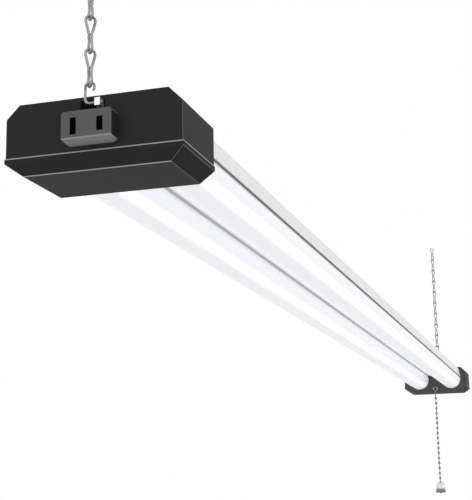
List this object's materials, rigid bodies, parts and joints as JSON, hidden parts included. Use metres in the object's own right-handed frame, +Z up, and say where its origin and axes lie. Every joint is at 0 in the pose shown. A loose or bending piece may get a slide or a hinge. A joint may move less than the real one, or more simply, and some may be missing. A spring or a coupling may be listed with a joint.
{
  "type": "hanging shop light",
  "caption": "Long twin-tube work light that hangs from two link chains, with dark end caps, an outlet in one cap and a beaded pull chain with a bell at the other.",
  "frame": {"origin": "midway between the two ceiling hooks, at the height where the chains' top links bear on them", "axes": "+Y runs along the light from the cap with the outlet to the cap with the pull chain, +Z is up, +X is across"},
  "size_m": [0.0862, 1.2314, 0.3536],
  "materials": {
    "white_paint": "satin",
    "milky_plastic": "frosted",
    "board_white": "glossy",
    "phosphor": "matte",
    "ivory_plastic": "matte",
    "board_green": "glossy",
    "driver_dark": "matte",
    "wire_black": "satin",
    "cap_black": "matte",
    "outlet_grey": "matte",
    "brass": "satin",
    "bright_steel": "bright",
    "chain_steel": "bright",
    "chrome": "polished"
  },
  "bodies": {
    "ceiling_links": {"near_top_link": "chain_steel", "far_top_link": "chain_steel"},
    "second_links": {"near_second_link": "chain_steel", "far_second_link": "chain_steel"},
    "near_chain": {"near_chain": "chain_steel", "near_hook": "chain_steel"},
    "fixture": {"housing": "white_paint", "reflector_tray": "white_paint", "led_board_left": "board_white", "led_board_right": "board_white", "led_chips_left": "phosphor", "led_chips_right": "phosphor", "board_jumper": "board_white", "diffuser_left": "milky_plastic", "diffuser_right": "milky_plastic", "driver_insulator": "ivory_plastic", "driver_board": "board_green", "driver_parts": "driver_dark", "driver_leads": "wire_black", "supply_wires": "wire_black", "near_cap_shell": "cap_black", "near_cap_base": "cap_black", "far_cap_shell": "cap_black", "far_cap_base": "cap_black", "near_cap_screws": "bright_steel", "far_cap_screws": "bright_steel", "outlet_insert": "outlet_grey", "outlet_contact_live": "brass", "outlet_contact_neutral": "brass", "near_hanger": "bright_steel", "far_hanger": "bright_steel", "hanger_rivets": "bright_steel", "cord_gland": "cap_black", "gland_nut": "cap_black", "terminal_block": "ivory_plastic", "switch_case": "ivory_plastic", "switch_spring": "bright_steel", "switch_tabs": "brass", "pull_eyelet": "chrome"},
    "far_chain": {"far_chain": "chain_steel", "far_hook": "chain_steel"},
    "switch_drum": {"switch_drum": "board_white"},
    "inner_chain": {"pull_chain_inner": "chrome"},
    "pull_lead": {"pull_chain_lead": "chrome"},
    "pull_chain": {"pull_chain": "chrome", "pull_bell": "chrome"}
  },
  "joints": [
    {"name": "side_sway", "type": "hinge", "parent": "ceiling_links", "child": "second_links", "pos_m": [0, 0, -0.01615], "axis": [0, 1, 0], "range_deg": [-20, 20]},
    {"name": "near_chain_swing", "type": "hinge", "parent": "second_links", "child": "near_chain", "pos_m": [0, -0.6126, -0.03215], "axis": [1, 0, 0], "range_deg": [-20, 20]},
    {"name": "fixture_level", "type": "hinge", "parent": "near_chain", "child": "fixture", "pos_m": [0, -0.6126, -0.18485], "axis": [1, 0, 0], "range_deg": [-20, 20]},
    {"name": "far_chain_swing", "type": "hinge", "parent": "fixture", "child": "far_chain", "pos_m": [0, 0.6126, -0.18485], "axis": [1, 0, 0], "range_deg": [-20, 20]},
    {"name": "pull_slide", "type": "slide", "parent": "fixture", "child": "pull_lead", "axis": [0, 0, -1], "range_m": [0, 0.0068], "stiffness_N_per_m": 300, "springref_m": -0.005},
    {"name": "inner_chain_slide", "type": "slide", "parent": "fixture", "child": "inner_chain", "axis": [0, -1, 0], "range_m": [0, 0.0068]},
    {"name": "switch_drum_turn", "type": "hinge", "parent": "fixture", "child": "switch_drum", "pos_m": [0, 0.597, -0.20405], "axis": [1, 0, 0], "range_deg": [-71, 0]},
    {"name": "pull_chain_swing", "type": "hinge", "parent": "pull_lead", "child": "pull_chain", "pos_m": [0, 0.5626, -0.21635], "axis": [0, 1, 0], "range_deg": [-60, 60]}
  ],
  "couplings": [
    {"joint": "near_chain_swing", "follows": "fixture_level", "ratio": -1},
    {"joint": "far_chain_swing", "follows": "fixture_level", "ratio": -1},
    {"joint": "inner_chain_slide", "follows": "pull_slide", "ratio": 1},
    {"joint": "switch_drum_turn", "follows": "pull_slide", "rad_per_m": -181.82}
  ]
}
